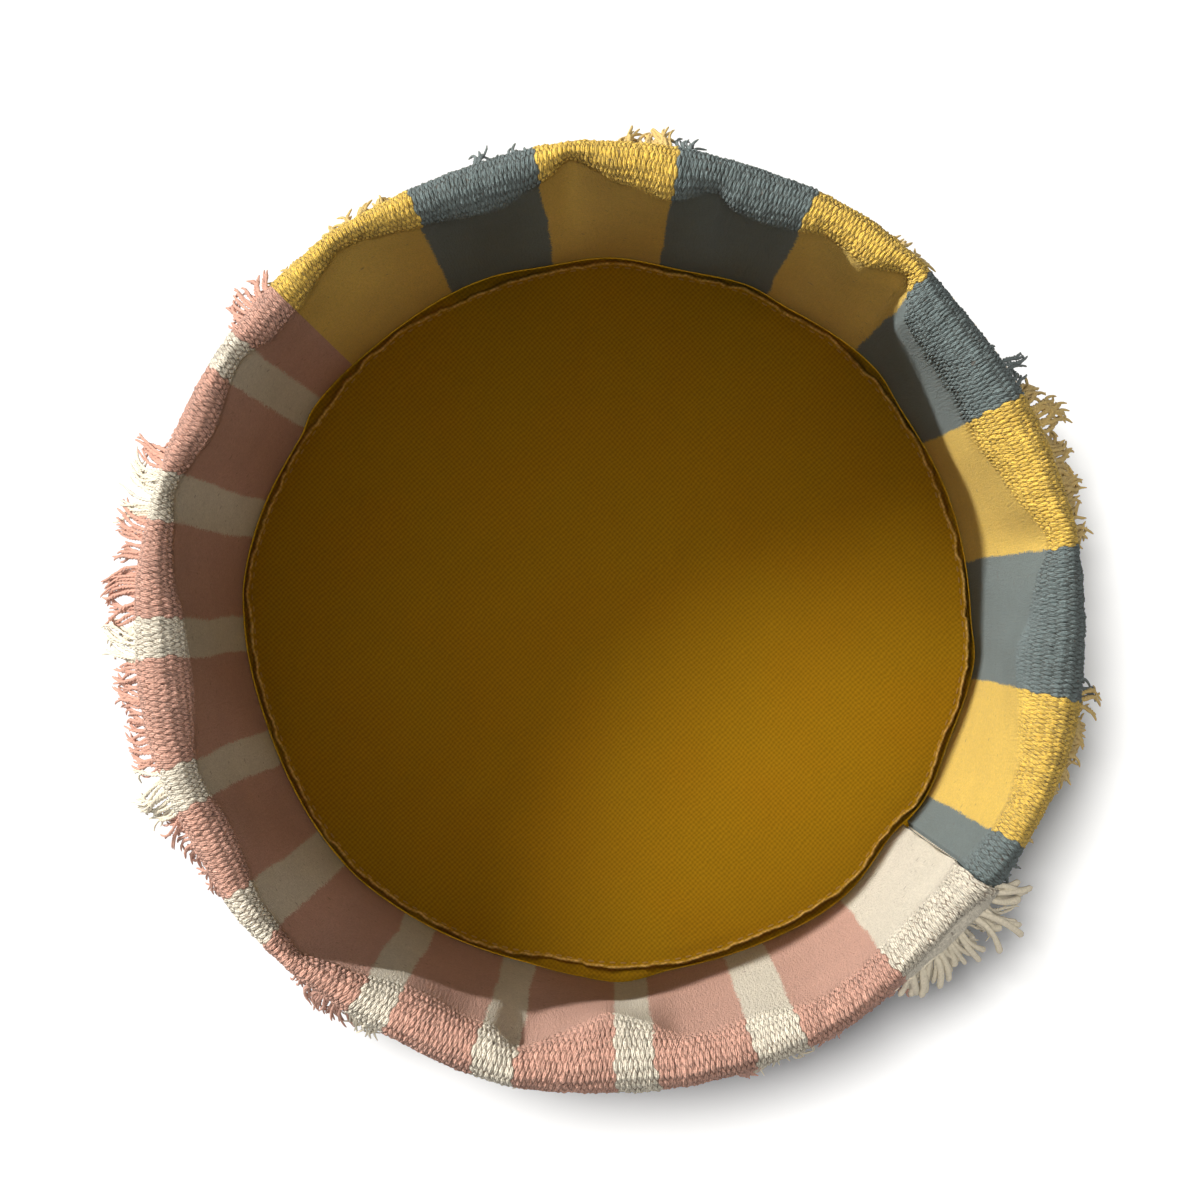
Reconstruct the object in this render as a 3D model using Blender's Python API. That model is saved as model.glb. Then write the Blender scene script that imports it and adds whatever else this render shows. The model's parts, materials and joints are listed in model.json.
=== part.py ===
# Soft storage basket: a woven cotton tub with a rolled cuff, a fringe of cut yarn ends
# below the cuff, and a canvas-covered base insert that lifts out.
# Metres, +Z up. The origin is the centre of the underside, where the basket stands.
# Angles are in degrees, anticlockwise from +X as seen from above.

import bpy
import bmesh
import math
from mathutils import Vector

# Woven wall and its rolled cuff
basket_height = 0.290
rim_radius = 0.2255
foot_radius = 0.1893
cloth_thickness = 0.0045
fold_hollow = 0.015
fold_rise = 0.017
cuff_depth = 0.040
cuff_tuck = 0.002
wall_lean_power = 1.6
seam_gap = 0.0004

# Woven floor under the wall
floor_thickness = 0.004
floor_edge = 0.0003

# Fringe of yarn ends below the cuff
tail_length = 0.046
tail_pitch = 0.0095
tail_thickness = 0.0026
tail_header = 0.004
tail_flare = 0.030
tail_root_share = 0.80
tail_tip_share = 0.42
tail_middle_share = 0.55
tail_lean_share = 0.10
tail_uneven_share = 0.06

# Lift-out base insert
insert_clearance = 0.0009
flange_width = 0.0032
canvas_thickness = 0.0012
board_thickness = 0.004
board_inset = 0.0022
welt_width = 0.0030
welt_height = 0.0022
welt_shape_shares = ((1.0, 0.0), (0.72, 0.85), (0.38, 1.0), (0.10, 0.55))

# Sewing thread
thread_thickness = 0.0011
stitch_reach = 0.003
seam_stitch_pitch = 0.007
floor_stitch_count = 60
floor_stitch_rise = 0.006
cuff_stitch_count = 60
cuff_stitch_rise = 0.007
cuff_stitch_reach = 0.001
insert_stitch_count = 64
insert_stitch_inset = 0.0025
insert_stitch_reach = 0.0008

# Pieces that touch keep this gap
piece_gap = 0.0003

# Mesh steps; a wall step is the widest arc that stays flat, as a share of a full turn
wall_step_share = 0.0136
wall_level_shares = (0.0, 0.22, 0.45, 0.68, 0.86, 1.0)
fold_steps = 6
disc_steps = 72

# Where the two seams stand, as shares of a full turn, anticlockwise from +X
first_seam_share = 0.3767
second_seam_share = -0.0956

# The woven stripes between the seams, clockwise from each panel's first seam.
# Each stripe is (yarn colour, share of its panel's arc).
check_block_shares = (
    ("yellow", 0.1147), ("slate", 0.0994), ("yellow", 0.1006), ("slate", 0.1059), ("yellow", 0.0965),
    ("slate", 0.1100), ("yellow", 0.1170), ("slate", 0.1100), ("yellow", 0.1124), ("slate", 0.0335),
)
stripe_band_shares = (
    ("cream", 0.0842), ("pink", 0.0758), ("cream", 0.0316), ("pink", 0.0663), ("cream", 0.0284),
    ("pink", 0.0668), ("cream", 0.0289), ("pink", 0.0626), ("cream", 0.0253), ("pink", 0.0679),
    ("cream", 0.0326), ("pink", 0.0679), ("cream", 0.0295), ("pink", 0.0684), ("cream", 0.0289),
    ("pink", 0.0668), ("cream", 0.0300), ("pink", 0.0705), ("cream", 0.0284), ("pink", 0.0392),
)
# How far each stripe's yarn ends stand out, as a share of the fringe's full flare.
check_flare_shares = (0.53, 0.50, 0.70, 0.33, 0.40, 0.48, 0.80, 0.27, 0.78, 0.62)
stripe_flare_shares = (
    1.10, 0.40, 0.36, 0.40, 0.25, 0.33, 0.25, 0.25, 0.35, 0.50,
    0.25, 0.50, 0.67, 0.77, 0.85, 0.83, 0.90, 0.55, 0.30, 0.55,
)

# The soft basket's outlines: (angle, share of the round size), smoothed between points.
rim_shares = (
    (-180, 1.004), (-165, 1.008), (-150, 1.003), (-142, 1.010), (-130, 1.004), (-116, 0.999),
    (-106, 1.009), (-90, 1.003), (-65, 0.999), (-50, 1.000), (-40, 1.006), (-29, 1.000),
    (-16, 1.011), (0, 1.002), (20, 1.004), (40, 0.996), (50, 1.004), (64, 1.003),
    (70, 0.999), (82, 1.003), (95, 1.008), (110, 0.997), (126, 1.003), (145, 1.001),
    (165, 0.999),
)
hollow_shares = (
    (-175, 0.82), (-155, 0.62), (-147, 0.66), (-134, 0.20), (-120, 1.00), (-108, 1.05), (-101, 0.55),
    (-91, 1.50), (-78, 1.00), (-60, 0.68), (-44, 1.00), (-25, 0.62), (-6, 1.35), (10, 0.42),
    (25, 1.60), (42, 0.95), (49, 0.20), (62, 0.80), (71, 0.95), (83, 0.90), (95, 0.20),
    (106, 0.95), (126, 0.20), (139, 0.55), (153, 0.55), (164, 0.20),
)
foot_shares = (
    (-180, 1.014), (-160, 0.996), (-130, 1.008), (-105, 0.990), (-88, 1.010), (-75, 0.998),
    (-50, 1.010), (-38, 0.992), (-20, 1.008), (0, 1.003), (35, 0.995), (60, 0.992),
    (78, 0.984), (95, 0.998), (135, 0.993), (152, 0.992),
)
# How much of the insert's flat sewn edge shows outside its welt, as a share of the mean width.
flange_shares = (
    (-180, 1.20), (-160, 0.45), (-130, 0.40), (-105, 1.20), (-91, 2.30), (-78, 1.10),
    (-65, 1.50), (-50, 1.20), (-38, 0.30), (-28, 0.30), (-8, 1.50), (0, 0.40),
    (20, 1.20), (43, 2.40), (60, 0.30), (76, 0.40), (90, 1.00), (110, 1.80),
    (130, 0.60), (146, 1.80), (156, 0.60), (170, 0.90),
)

yarn_colour_shares = {
    "slate": (0.105, 0.165, 0.175, 1.0),
    "yellow": (0.855, 0.560, 0.125, 1.0),
    "pink": (0.560, 0.300, 0.235, 1.0),
    "cream": (0.830, 0.765, 0.640, 1.0),
    "mustard": (0.440, 0.245, 0.025, 1.0),
    "board": (0.520, 0.420, 0.290, 1.0),
    "thread": (0.780, 0.700, 0.560, 1.0),
}


def clear_scene():
    for thing in list(bpy.data.objects):
        bpy.data.objects.remove(thing, do_unlink=True)


def make_material(name, colour_name, roughness):
    material = bpy.data.materials.get(name)
    if material is None:
        material = bpy.data.materials.new(name)
        material.use_nodes = True
        shader = material.node_tree.nodes["Principled BSDF"]
        shader.inputs["Base Color"].default_value = yarn_colour_shares[colour_name]
        shader.inputs["Roughness"].default_value = roughness
        shader.inputs["Metallic"].default_value = 0.0
    return material


def add_object(name, mesh_data, materials):
    mesh = bpy.data.meshes.new(name)
    bmesh.ops.recalc_face_normals(mesh_data, faces=mesh_data.faces)
    mesh_data.to_mesh(mesh)
    mesh_data.free()
    for material in materials:
        mesh.materials.append(material)
    piece = bpy.data.objects.new(name, mesh)
    bpy.context.scene.collection.objects.link(piece)
    mesh.shade_smooth()
    mesh.set_sharp_from_angle(angle=math.radians(40))
    return piece


def share_at(table, angle):
    """Smooth value of a table of (angle, share) round the circle."""
    turn = 360
    place = (angle - table[0][0]) % turn
    for index, (start, value) in enumerate(table):
        following = table[(index + 1) % len(table)]
        low = (start - table[0][0]) % turn
        high = (following[0] - table[0][0]) % turn
        if index == len(table) - 1:
            high = turn
        if low <= place <= high:
            part = (place - low) / (high - low)
            blend = (1 - math.cos(math.pi * part)) / 2
            return value + (following[1] - value) * blend
    return table[0][1]


def first_seam_angle():
    return 360 * first_seam_share


def second_seam_angle():
    return 360 * second_seam_share


def rim_at(angle):
    """Outer radius of the rolled rim."""
    return rim_radius * share_at(rim_shares, angle)


def foot_at(angle):
    """Inner radius of the wall where it meets the floor."""
    return foot_radius * share_at(foot_shares, angle)


def fold_width_at(angle):
    """Width of the rolled rim: two layers of cloth and the hollow between them."""
    return 2 * cloth_thickness + fold_hollow * share_at(hollow_shares, angle)


def fold_foot_height():
    return basket_height - fold_rise


def cuff_foot_height():
    return basket_height - cuff_depth


def wall_foot_height():
    return floor_thickness + piece_gap


def wall_inner_at(angle, rise_share):
    """Inner radius of the wall, from its foot (0) to where it starts to fold over (1)."""
    foot = foot_at(angle)
    top = rim_at(angle) - fold_width_at(angle)
    return foot + (top - foot) * rise_share ** wall_lean_power


def point_at(angle, radius, height):
    turn = math.radians(angle)
    return Vector((radius * math.cos(turn), radius * math.sin(turn), height))


def fold_arc(angle, offset):
    """Half ellipse over the rim, from the inside outwards, this far inside the cloth's outer face."""
    width = fold_width_at(angle)
    middle = rim_at(angle) - width / 2
    half = width / 2 - offset
    rise = fold_rise - offset
    points = []
    for step in range(fold_steps + 1):
        swing = math.pi * (1 - step / fold_steps)
        points.append((middle + half * math.cos(swing), fold_foot_height() + rise * math.sin(swing)))
    return points


def wall_profile(angle):
    """The cloth's section: up the inside, over the rim, down the cuff, and back along the other face."""
    low = wall_foot_height()
    climb = fold_foot_height() - low
    inside = [(wall_inner_at(angle, share), low + climb * share) for share in wall_level_shares[:-1]]
    outside = [(radius + cloth_thickness, height) for radius, height in inside]
    cuff_outer = rim_at(angle) - cuff_tuck
    cuff_inner = cuff_outer - cloth_thickness
    profile = list(inside)
    profile += fold_arc(angle, 0)
    profile.append((cuff_outer, cuff_foot_height()))
    profile.append((cuff_inner, cuff_foot_height()))
    profile += reversed(fold_arc(angle, cloth_thickness))
    profile += reversed(outside)
    return profile


def band_edges(start, span, band_shares):
    """(colour, first angle, last angle) of each stripe, clockwise."""
    edges = []
    reached = 0
    for colour, share in band_shares:
        edges.append((colour, start - span * reached, start - span * (reached + share)))
        reached += share
    return edges


def build_panel(name, start, span, band_shares):
    """One woven panel, from seam to seam, with a material for each stripe's yarn."""
    half_gap = math.degrees(seam_gap / 2 / foot_radius)
    edges = band_edges(start - half_gap, span - 2 * half_gap, band_shares)
    colours = sorted({colour for colour, share in band_shares})
    shape = bmesh.new()
    rings = []
    ring_colours = []
    for colour, first, last in edges:
        steps = max(1, round((first - last) / (360 * wall_step_share)))
        for step in range(steps):
            angle = first + (last - first) * step / steps
            rings.append([shape.verts.new(point_at(angle, r, z)) for r, z in wall_profile(angle)])
            ring_colours.append(colours.index(colour))
    rings.append([shape.verts.new(point_at(last, r, z)) for r, z in wall_profile(last)])
    for near, far, slot in zip(rings, rings[1:], ring_colours):
        for index in range(len(near)):
            after = (index + 1) % len(near)
            face = shape.faces.new((near[index], near[after], far[after], far[index]))
            face.material_index = slot
    shape.faces.new(rings[0])
    shape.faces.new(rings[-1])
    materials = [make_material(colour + "_yarn", colour, 0.9) for colour in colours]
    return add_object(name, shape, materials)


def build_fringe(name, colour, first, last, flare_share):
    """The cut yarn ends below one stripe: a header along the cuff's edge, and tapered tails."""
    arc = math.radians(first - last) * rim_radius
    margin = math.degrees(seam_gap / rim_radius)
    begin = first - margin
    width = first - last - 2 * margin
    count = max(2, round(arc / tail_pitch))
    pitch = width / count
    header_share = tail_header / tail_length
    level_shares = (0, header_share, tail_middle_share, 1)
    middle_breadth = (tail_root_share + tail_tip_share) / 2
    breadth_shares = (tail_root_share, tail_root_share, middle_breadth, tail_tip_share)
    shape = bmesh.new()
    columns = []
    for tail in range(count):
        centre = begin - pitch * (2 * tail + 1) / 2
        edge_radius = rim_at(centre) - cuff_tuck - cloth_thickness / 2
        lean = tail_lean_share * math.sin(2.4 * tail)
        reach = 1 - tail_uneven_share * (tail % 3)
        column = []
        for level, breadth in zip(level_shares, breadth_shares):
            drop = tail_length * level
            if level > header_share:
                drop *= reach
            radius = edge_radius + tail_flare * flare_share * level ** 1.5
            height = cuff_foot_height() - piece_gap - drop
            pair = []
            for side in (1, -1):
                angle = centre + pitch * (lean * level + breadth * side / 2)
                pair.append(shape.verts.new(point_at(angle, radius, height)))
            column.append(pair)
        columns.append(column)
    for tail, column in enumerate(columns):
        for upper, lower in zip(column, column[1:]):
            shape.faces.new((upper[0], upper[1], lower[1], lower[0]))
        if tail + 1 < count:
            beside = columns[tail + 1]
            shape.faces.new((column[0][1], beside[0][0], beside[1][0], column[1][1]))
    piece = add_object(name, shape, [make_material(colour + "_yarn", colour, 0.9)])
    thicken = piece.modifiers.new("tail_body", "SOLIDIFY")
    thicken.thickness = tail_thickness
    thicken.offset = 0
    thicken.use_even_offset = False
    return piece


def build_fringes(prefix, start, span, band_shares, flare_shares):
    for number, (colour, first, last) in enumerate(band_edges(start, span, band_shares), 1):
        name = "{}_fringe_{:02d}".format(prefix, number)
        build_fringe(name, colour, first, last, flare_shares[number - 1])


def build_disc(name, profile_at, materials):
    """A turned piece whose section may change round the circle; the section starts and ends on the axis."""
    shape = bmesh.new()
    rings = []
    for step in range(disc_steps):
        angle = 360 * step / disc_steps
        section = profile_at(angle)
        rings.append([shape.verts.new(point_at(angle, r, z)) for r, z in section[1:-1]])
    sample = profile_at(0)
    top = shape.verts.new((0, 0, sample[0][1]))
    bottom = shape.verts.new((0, 0, sample[-1][1]))
    for step in range(disc_steps):
        near, far = rings[step], rings[(step + 1) % disc_steps]
        shape.faces.new((top, near[0], far[0]))
        shape.faces.new((bottom, far[-1], near[-1]))
        for index in range(len(near) - 1):
            shape.faces.new((near[index], near[index + 1], far[index + 1], far[index]))
    return add_object(name, shape, materials)


def floor_profile(angle):
    edge = foot_at(angle) + cloth_thickness - floor_edge
    return [(0, floor_thickness), (edge, floor_thickness), (edge, 0), (0, 0)]


def build_floor():
    return build_disc("floor_panel", floor_profile, [make_material("mustard_cloth", "mustard", 0.9)])


def flange_at(angle):
    """Outer radius of the insert's sewn edge, which clears the wall's foot."""
    return foot_at(angle) - insert_clearance


def insert_edge_at(angle):
    """Radius of the pinched welt round the insert's top."""
    return flange_at(angle) - flange_width * share_at(flange_shares, angle)


def insert_base_height():
    return floor_thickness + piece_gap


def board_base_height():
    return insert_base_height() + canvas_thickness + piece_gap


def cover_base_height():
    return board_base_height() + board_thickness + piece_gap


def bottom_cover_profile(angle):
    low = insert_base_height()
    high = low + canvas_thickness
    return [(0, high), (flange_at(angle), high), (flange_at(angle), low), (0, low)]


def board_profile(angle):
    low = board_base_height()
    edge = insert_edge_at(angle) - board_inset
    return [(0, low + board_thickness), (edge, low + board_thickness), (edge, low), (0, low)]


def top_cover_profile(angle):
    """Top sheet with its pinched welt, then the sewn edge that lies out to the wall's foot."""
    edge = insert_edge_at(angle)
    flange = flange_at(angle)
    under = cover_base_height()
    over = under + canvas_thickness
    skirt_inner = edge - board_inset + piece_gap
    low = board_base_height()
    profile = [(0, over)]
    for inward, rise in welt_shape_shares:
        profile.append((edge - welt_width * inward, over + welt_height * rise))
    profile += [
        (edge, over - canvas_thickness / 2),
        (edge, low + canvas_thickness),
        (flange, low + canvas_thickness),
        (flange, low),
        (skirt_inner, low),
        (skirt_inner, under),
        (0, under),
    ]
    return profile


def build_insert():
    canvas = make_material("mustard_canvas", "mustard", 0.85)
    build_disc("insert_bottom_cover", bottom_cover_profile, [canvas])
    build_disc("insert_board", board_profile, [make_material("board", "board", 0.95)])
    build_disc("insert_top_cover", top_cover_profile, [canvas])


def sweep_thread(name, places, closed):
    """One unbroken zigzag of thread, square in section. Each place is (point on the cloth, direction
    along the seam, direction out of the cloth)."""
    shape = bmesh.new()
    half = thread_thickness / 2
    rings = []
    for point, along, outward in places:
        across = along.cross(outward).normalized()
        ring = []
        for side, lift in ((0, 0), (1, 1), (0, 2), (-1, 1)):
            ring.append(shape.verts.new(point + across * half * side + outward * half * lift))
        rings.append(ring)
    pairs = list(zip(rings, rings[1:]))
    if closed:
        pairs.append((rings[-1], rings[0]))
    for near, far in pairs:
        for index in range(4):
            after = (index + 1) % 4
            shape.faces.new((near[index], near[after], far[after], far[index]))
    if not closed:
        shape.faces.new(rings[0])
        shape.faces.new(rings[-1])
    return add_object(name, shape, [make_material("thread", "thread", 0.8)])


def build_seam_thread(name, seam_angle):
    """Thread laced to and fro across a side seam, on the outer face, from the foot to under the fringe."""
    low = wall_foot_height() + floor_stitch_rise + 2 * stitch_reach
    high = cuff_foot_height() - tail_length
    count = int((high - low) / seam_stitch_pitch)
    climb = fold_foot_height() - wall_foot_height()
    outward = point_at(seam_angle, 1, 0)
    sideways = Vector((0, 0, 1)).cross(outward)
    places = []
    for step in range(count + 1):
        height = low + (high - low) * step / count
        share = (height - wall_foot_height()) / climb
        radius = wall_face_at(seam_angle, share) + cloth_thickness + piece_gap
        side = 1 if step % 2 else -1
        point = point_at(seam_angle, radius, height) + sideways * stitch_reach * side
        places.append((point, Vector((0, 0, 1)), outward))
    return sweep_thread(name, places, False)


def wall_face_at(angle, rise_share):
    """Inner radius on the wall's flat facets, which run straight between its levels."""
    for low, high in zip(wall_level_shares, wall_level_shares[1:]):
        if low <= rise_share <= high:
            part = (rise_share - low) / (high - low)
            start = wall_inner_at(angle, low)
            return start + (wall_inner_at(angle, high) - start) * part
    return wall_inner_at(angle, 1)


def build_wall_thread(name, count, radius_at, height, reach):
    """Thread laced up and down round an upright face."""
    places = []
    for step in range(2 * count):
        angle = 180 * step / count
        outward = point_at(angle, 1, 0)
        side = 1 if step % 2 else -1
        point = point_at(angle, radius_at(angle), height + reach * side)
        places.append((point, Vector((0, 0, 1)).cross(outward), outward))
    return sweep_thread(name, places, True)


def build_insert_thread():
    """Thread laced in and out round the insert's top, just inside the welt."""
    height = cover_base_height() + canvas_thickness + piece_gap
    places = []
    for step in range(2 * insert_stitch_count):
        angle = 180 * step / insert_stitch_count
        side = 1 if step % 2 else -1
        radius = insert_edge_at(angle) - welt_width - insert_stitch_inset + insert_stitch_reach * side
        up = Vector((0, 0, 1))
        places.append((point_at(angle, radius, height), up.cross(point_at(angle, 1, 0)), up))
    return sweep_thread("insert_thread", places, True)


def foot_face_at(angle):
    return foot_at(angle) + cloth_thickness + 2 * piece_gap


def cuff_face_at(angle):
    """Outer face of the cuff at the height of its stitches, which lean in towards its lower edge."""
    lean = (cuff_stitch_rise + cuff_stitch_reach) / (cuff_depth - fold_rise)
    return rim_at(angle) - cuff_tuck * (1 - lean) + piece_gap


def build_threads():
    build_seam_thread("left_seam_thread", first_seam_angle())
    build_seam_thread("right_seam_thread", second_seam_angle())
    foot_height = wall_foot_height() + floor_stitch_rise
    build_wall_thread("floor_seam_thread", floor_stitch_count, foot_face_at, foot_height, stitch_reach)
    cuff_height = cuff_foot_height() + cuff_stitch_rise
    build_wall_thread("cuff_thread", cuff_stitch_count, cuff_face_at, cuff_height, cuff_stitch_reach)
    build_insert_thread()


def build_basket():
    clear_scene()
    check_span = first_seam_angle() - second_seam_angle()
    stripe_span = 360 - check_span
    build_panel("check_panel", first_seam_angle(), check_span, check_block_shares)
    build_panel("stripe_panel", second_seam_angle(), stripe_span, stripe_band_shares)
    build_floor()
    build_fringes("check", first_seam_angle(), check_span, check_block_shares, check_flare_shares)
    build_fringes("stripe", second_seam_angle(), stripe_span, stripe_band_shares, stripe_flare_shares)
    build_insert()
    build_threads()


build_basket()
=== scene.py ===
# Soft storage basket, seen from straight above: two woven panels with a rolled cuff, a fringe
# of yarn ends under the cuff, and a canvas insert on the floor. Metres, +Z up, origin under the base.
import bpy
import json
import math
import random
import numpy as np
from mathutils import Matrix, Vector

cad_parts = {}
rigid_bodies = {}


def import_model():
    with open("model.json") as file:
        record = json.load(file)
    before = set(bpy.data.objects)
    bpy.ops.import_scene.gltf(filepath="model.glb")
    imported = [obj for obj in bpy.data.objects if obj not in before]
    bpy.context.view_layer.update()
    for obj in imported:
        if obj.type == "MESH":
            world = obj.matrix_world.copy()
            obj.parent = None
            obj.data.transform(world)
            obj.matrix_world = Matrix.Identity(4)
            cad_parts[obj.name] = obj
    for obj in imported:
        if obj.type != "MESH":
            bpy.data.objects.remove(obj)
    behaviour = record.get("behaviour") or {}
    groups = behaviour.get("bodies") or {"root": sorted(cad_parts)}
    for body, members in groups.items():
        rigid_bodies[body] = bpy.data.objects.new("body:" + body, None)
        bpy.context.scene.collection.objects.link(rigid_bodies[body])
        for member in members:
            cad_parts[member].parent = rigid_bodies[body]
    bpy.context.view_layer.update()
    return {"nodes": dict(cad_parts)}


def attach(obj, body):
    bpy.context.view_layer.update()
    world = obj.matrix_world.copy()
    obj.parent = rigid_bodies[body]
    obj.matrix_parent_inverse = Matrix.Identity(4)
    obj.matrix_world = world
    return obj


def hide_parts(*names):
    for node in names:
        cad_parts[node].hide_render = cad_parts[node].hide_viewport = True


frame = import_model()
mm = 0.001

yarnColours = {
    "slate": (0.138, 0.184, 0.192, 1.0),
    "yellow": (0.790, 0.535, 0.086, 1.0),
    "pink": (0.600, 0.336, 0.264, 1.0),
    "cream": (0.745, 0.695, 0.590, 1.0),
}

shadedEndColours = {    # painted shade: the cut ends are made darker and duller than the cloth, for the rim's shadow on them
    "slate": (0.105, 0.135, 0.140, 1.0),
    "yellow": (0.530, 0.375, 0.125, 1.0),
    "pink": (0.480, 0.260, 0.200, 1.0),
    "cream": (0.610, 0.560, 0.455, 1.0),
}


# the view and the lamps
cameraSettings = dict(
    place=(-0.0048, 0.0086, 3.1),
    lens=177.2,
    sensor=36.0,
)

lightSettings = dict(
    keyAngle=-30.5,          # the way the light goes over the floor, degrees from +X
    keyElevation=31.0,
    keyStrength=5.6,
    keySoftness=4.0,         # degrees across the lamp
    keyColour=(1.0, 0.965, 0.90),
    topAngle=-30.0,
    topElevation=88.5,
    topStrength=3.1,
    topSoftness=14.0,
    topColour=(1.0, 0.960, 0.89),
    baseAngle=-34.0,         # the next two reach the insert only
    baseElevation=80.0,
    baseStrength=0.81,
    baseSoftness=60.0,
    baseColour=(1.0, 0.98, 0.94),
    cornerAngle=-45.0,
    cornerElevation=46.0,
    cornerStrength=1.90,
    cornerSoftness=12.0,
    cornerColour=(1.0, 0.98, 0.94),
    skyStrength=0.055,
    skyColour=(1.0, 0.84, 0.60),
    floorAngle=-46.0,
    floorElevation=81.5,
    floorStrength=5.0,
    floorSoftness=9.0,
    floorGlow=0.10,          # what the floor shows of itself, so that it stays white
    floorColour=(0.62, 0.73, 1.0),    # takes the warmth out of the lamps' light, so the shadow is grey
    floorSize=8.0,
)


# small helpers for scene, nodes and meshes
def linkObject(name, data):
    made = bpy.data.objects.new(name, data)
    bpy.context.scene.collection.objects.link(made)
    return made


def waysAt(angle):
    # straight out and sideways, at an angle in degrees round the basket
    turn = math.radians(angle)
    outward = Vector((math.cos(turn), math.sin(turn), 0))
    return outward, Vector((-outward.y, outward.x, 0))


def feed(socket, value):
    # a number or colour is set on the socket, another socket is linked to it
    if isinstance(value, (int, float, tuple)):
        socket.default_value = value
    else:
        socket.id_data.links.new(value, socket)


def addNode(tree, kind, inputs={}, **settings):
    node = tree.nodes.new("ShaderNode" + kind)
    for name, value in settings.items():
        setattr(node, name, value)
    for name, value in inputs.items():
        feed(node.inputs[name], value)
    return node


def treeOf(*values):
    return next(value.id_data for value in values if not isinstance(value, (int, float, tuple)))


def maths(operation, *values):
    return addNode(treeOf(*values), "Math", dict(enumerate(values)), operation=operation).outputs[0]


def plus(first, *others):
    for other in others:
        first = maths("ADD", first, other)
    return first


def minus(first, second):
    return maths("SUBTRACT", first, second)


def times(first, *others):
    for other in others:
        first = maths("MULTIPLY", first, other)
    return first


def addMix(share, first, second, blend="MIX"):
    tree = treeOf(share, first, second)
    return addNode(tree, "Mix", {0: share, 6: first, 7: second}, data_type="RGBA", blend_type=blend).outputs[2]


def addNoise(place, scale, detail=2.0, roughness=0.5):
    inputs = {"Vector": place, "Scale": scale, "Detail": detail, "Roughness": roughness}
    return addNode(place.id_data, "TexNoise", inputs).outputs["Fac"]


def addRange(value, low, high, newLow=0.0, newHigh=1.0):
    inputs = {"Value": value, "From Min": low, "From Max": high, "To Min": newLow, "To Max": newHigh}
    return addNode(value.id_data, "MapRange", inputs).outputs["Result"]


def addBump(height, distance):
    return addNode(height.id_data, "Bump", {"Distance": distance, "Height": height}).outputs["Normal"]


def toned(colour, tone):
    # the colour, made lighter or darker by the tone
    return addNode(tone.id_data, "HueSaturation", {"Color": colour, "Value": tone}).outputs["Color"]


def objectPlace(tree):
    return addNode(tree, "TexCoord").outputs["Object"]


def storedMark(tree, name):
    return addNode(tree, "Attribute", attribute_name=name).outputs


def newGroup(name, vectors, numbers, results):
    tree = bpy.data.node_groups.new(name, "ShaderNodeTree")
    for way, labels, kind in (("INPUT", vectors, "Vector"), ("INPUT", numbers, "Float"), ("OUTPUT", results, "Float")):
        for label in labels:
            tree.interface.new_socket(label, in_out=way, socket_type="NodeSocket" + kind)
    return tree, tree.nodes.new("NodeGroupInput").outputs


def closeGroup(tree, **results):
    target = tree.nodes.new("NodeGroupOutput")
    for label, value in results.items():
        feed(target.inputs[label], value)
    return tree


def placeGroup(tree, group, **inputs):
    return addNode(tree, "Group", inputs, node_tree=group).outputs


def newMaterial(name, roughness, sheen, specular=0.25):
    material = bpy.data.materials.new(name)
    material.use_nodes = True
    shader = material.node_tree.nodes["Principled BSDF"].inputs
    shader["Roughness"].default_value = roughness
    shader["Specular IOR Level"].default_value = specular
    shader["Sheen Weight"].default_value = sheen
    shader["Sheen Roughness"].default_value = 0.6
    return material, material.node_tree, shader


def ringPoints(radius, turn, height):
    return np.stack((radius * np.cos(turn), radius * np.sin(turn), height), axis=-1)


def gridFaces(number):
    # faces between the points of a grid of point numbers
    corners = (number[:-1, :-1], number[:-1, 1:], number[1:, 1:], number[1:, :-1])
    return np.stack(corners, axis=2).reshape(-1, 4).tolist()


def meshPiece(name, points, faces, material, smoothAngle=60.0):
    mesh = bpy.data.meshes.new(name)
    mesh.from_pydata(points, [], faces)
    mesh.materials.append(material)
    mesh.shade_smooth()
    mesh.set_sharp_from_angle(angle=math.radians(smoothAngle))
    mesh.validate()
    return linkObject(name, mesh)


def storeMarks(piece, name, values, kind="FLOAT", field="value"):
    attribute = piece.data.attributes.new(name, kind, "POINT")
    attribute.data.foreach_set(field, np.asarray(values, dtype=np.float32).ravel())


def standIn(piece, body, node):
    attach(piece, body)
    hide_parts(node)
    return piece


def addSun(name, colour=None):
    values = lightSettings
    data = bpy.data.lights.new(name, "SUN")
    data.energy = values[name + "Strength"]
    data.angle = math.radians(values[name + "Softness"])
    data.color = colour or values[name + "Colour"]
    lamp = linkObject(name, data)
    rise = math.radians(values[name + "Elevation"])
    travel = waysAt(values[name + "Angle"])[0] * math.cos(rise) - Vector((0, 0, math.sin(rise)))
    lamp.rotation_euler = travel.to_track_quat("-Z", "Y").to_euler()
    lamp.light_linking.receiver_collection = bpy.data.collections.new(name + "Receivers")


def linkLamp(lampName, piece, state):
    # INCLUDE: the lamp lights this piece; EXCLUDE: it lights all but this piece
    receivers = bpy.data.objects[lampName].light_linking.receiver_collection
    receivers.objects.link(piece)
    receivers.collection_objects[len(receivers.objects) - 1].light_linking.link_state = state


def lightInsert(piece):
    linkLamp("top", piece, "EXCLUDE")
    linkLamp("base", piece, "INCLUDE")
    linkLamp("corner", piece, "INCLUDE")


def makeCamera():
    data = bpy.data.cameras.new("camera")
    data.lens = cameraSettings["lens"]
    data.sensor_width = cameraSettings["sensor"]
    data.clip_end = 50
    camera = linkObject("camera", data)
    camera.location = cameraSettings["place"]
    bpy.context.scene.camera = camera


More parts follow.
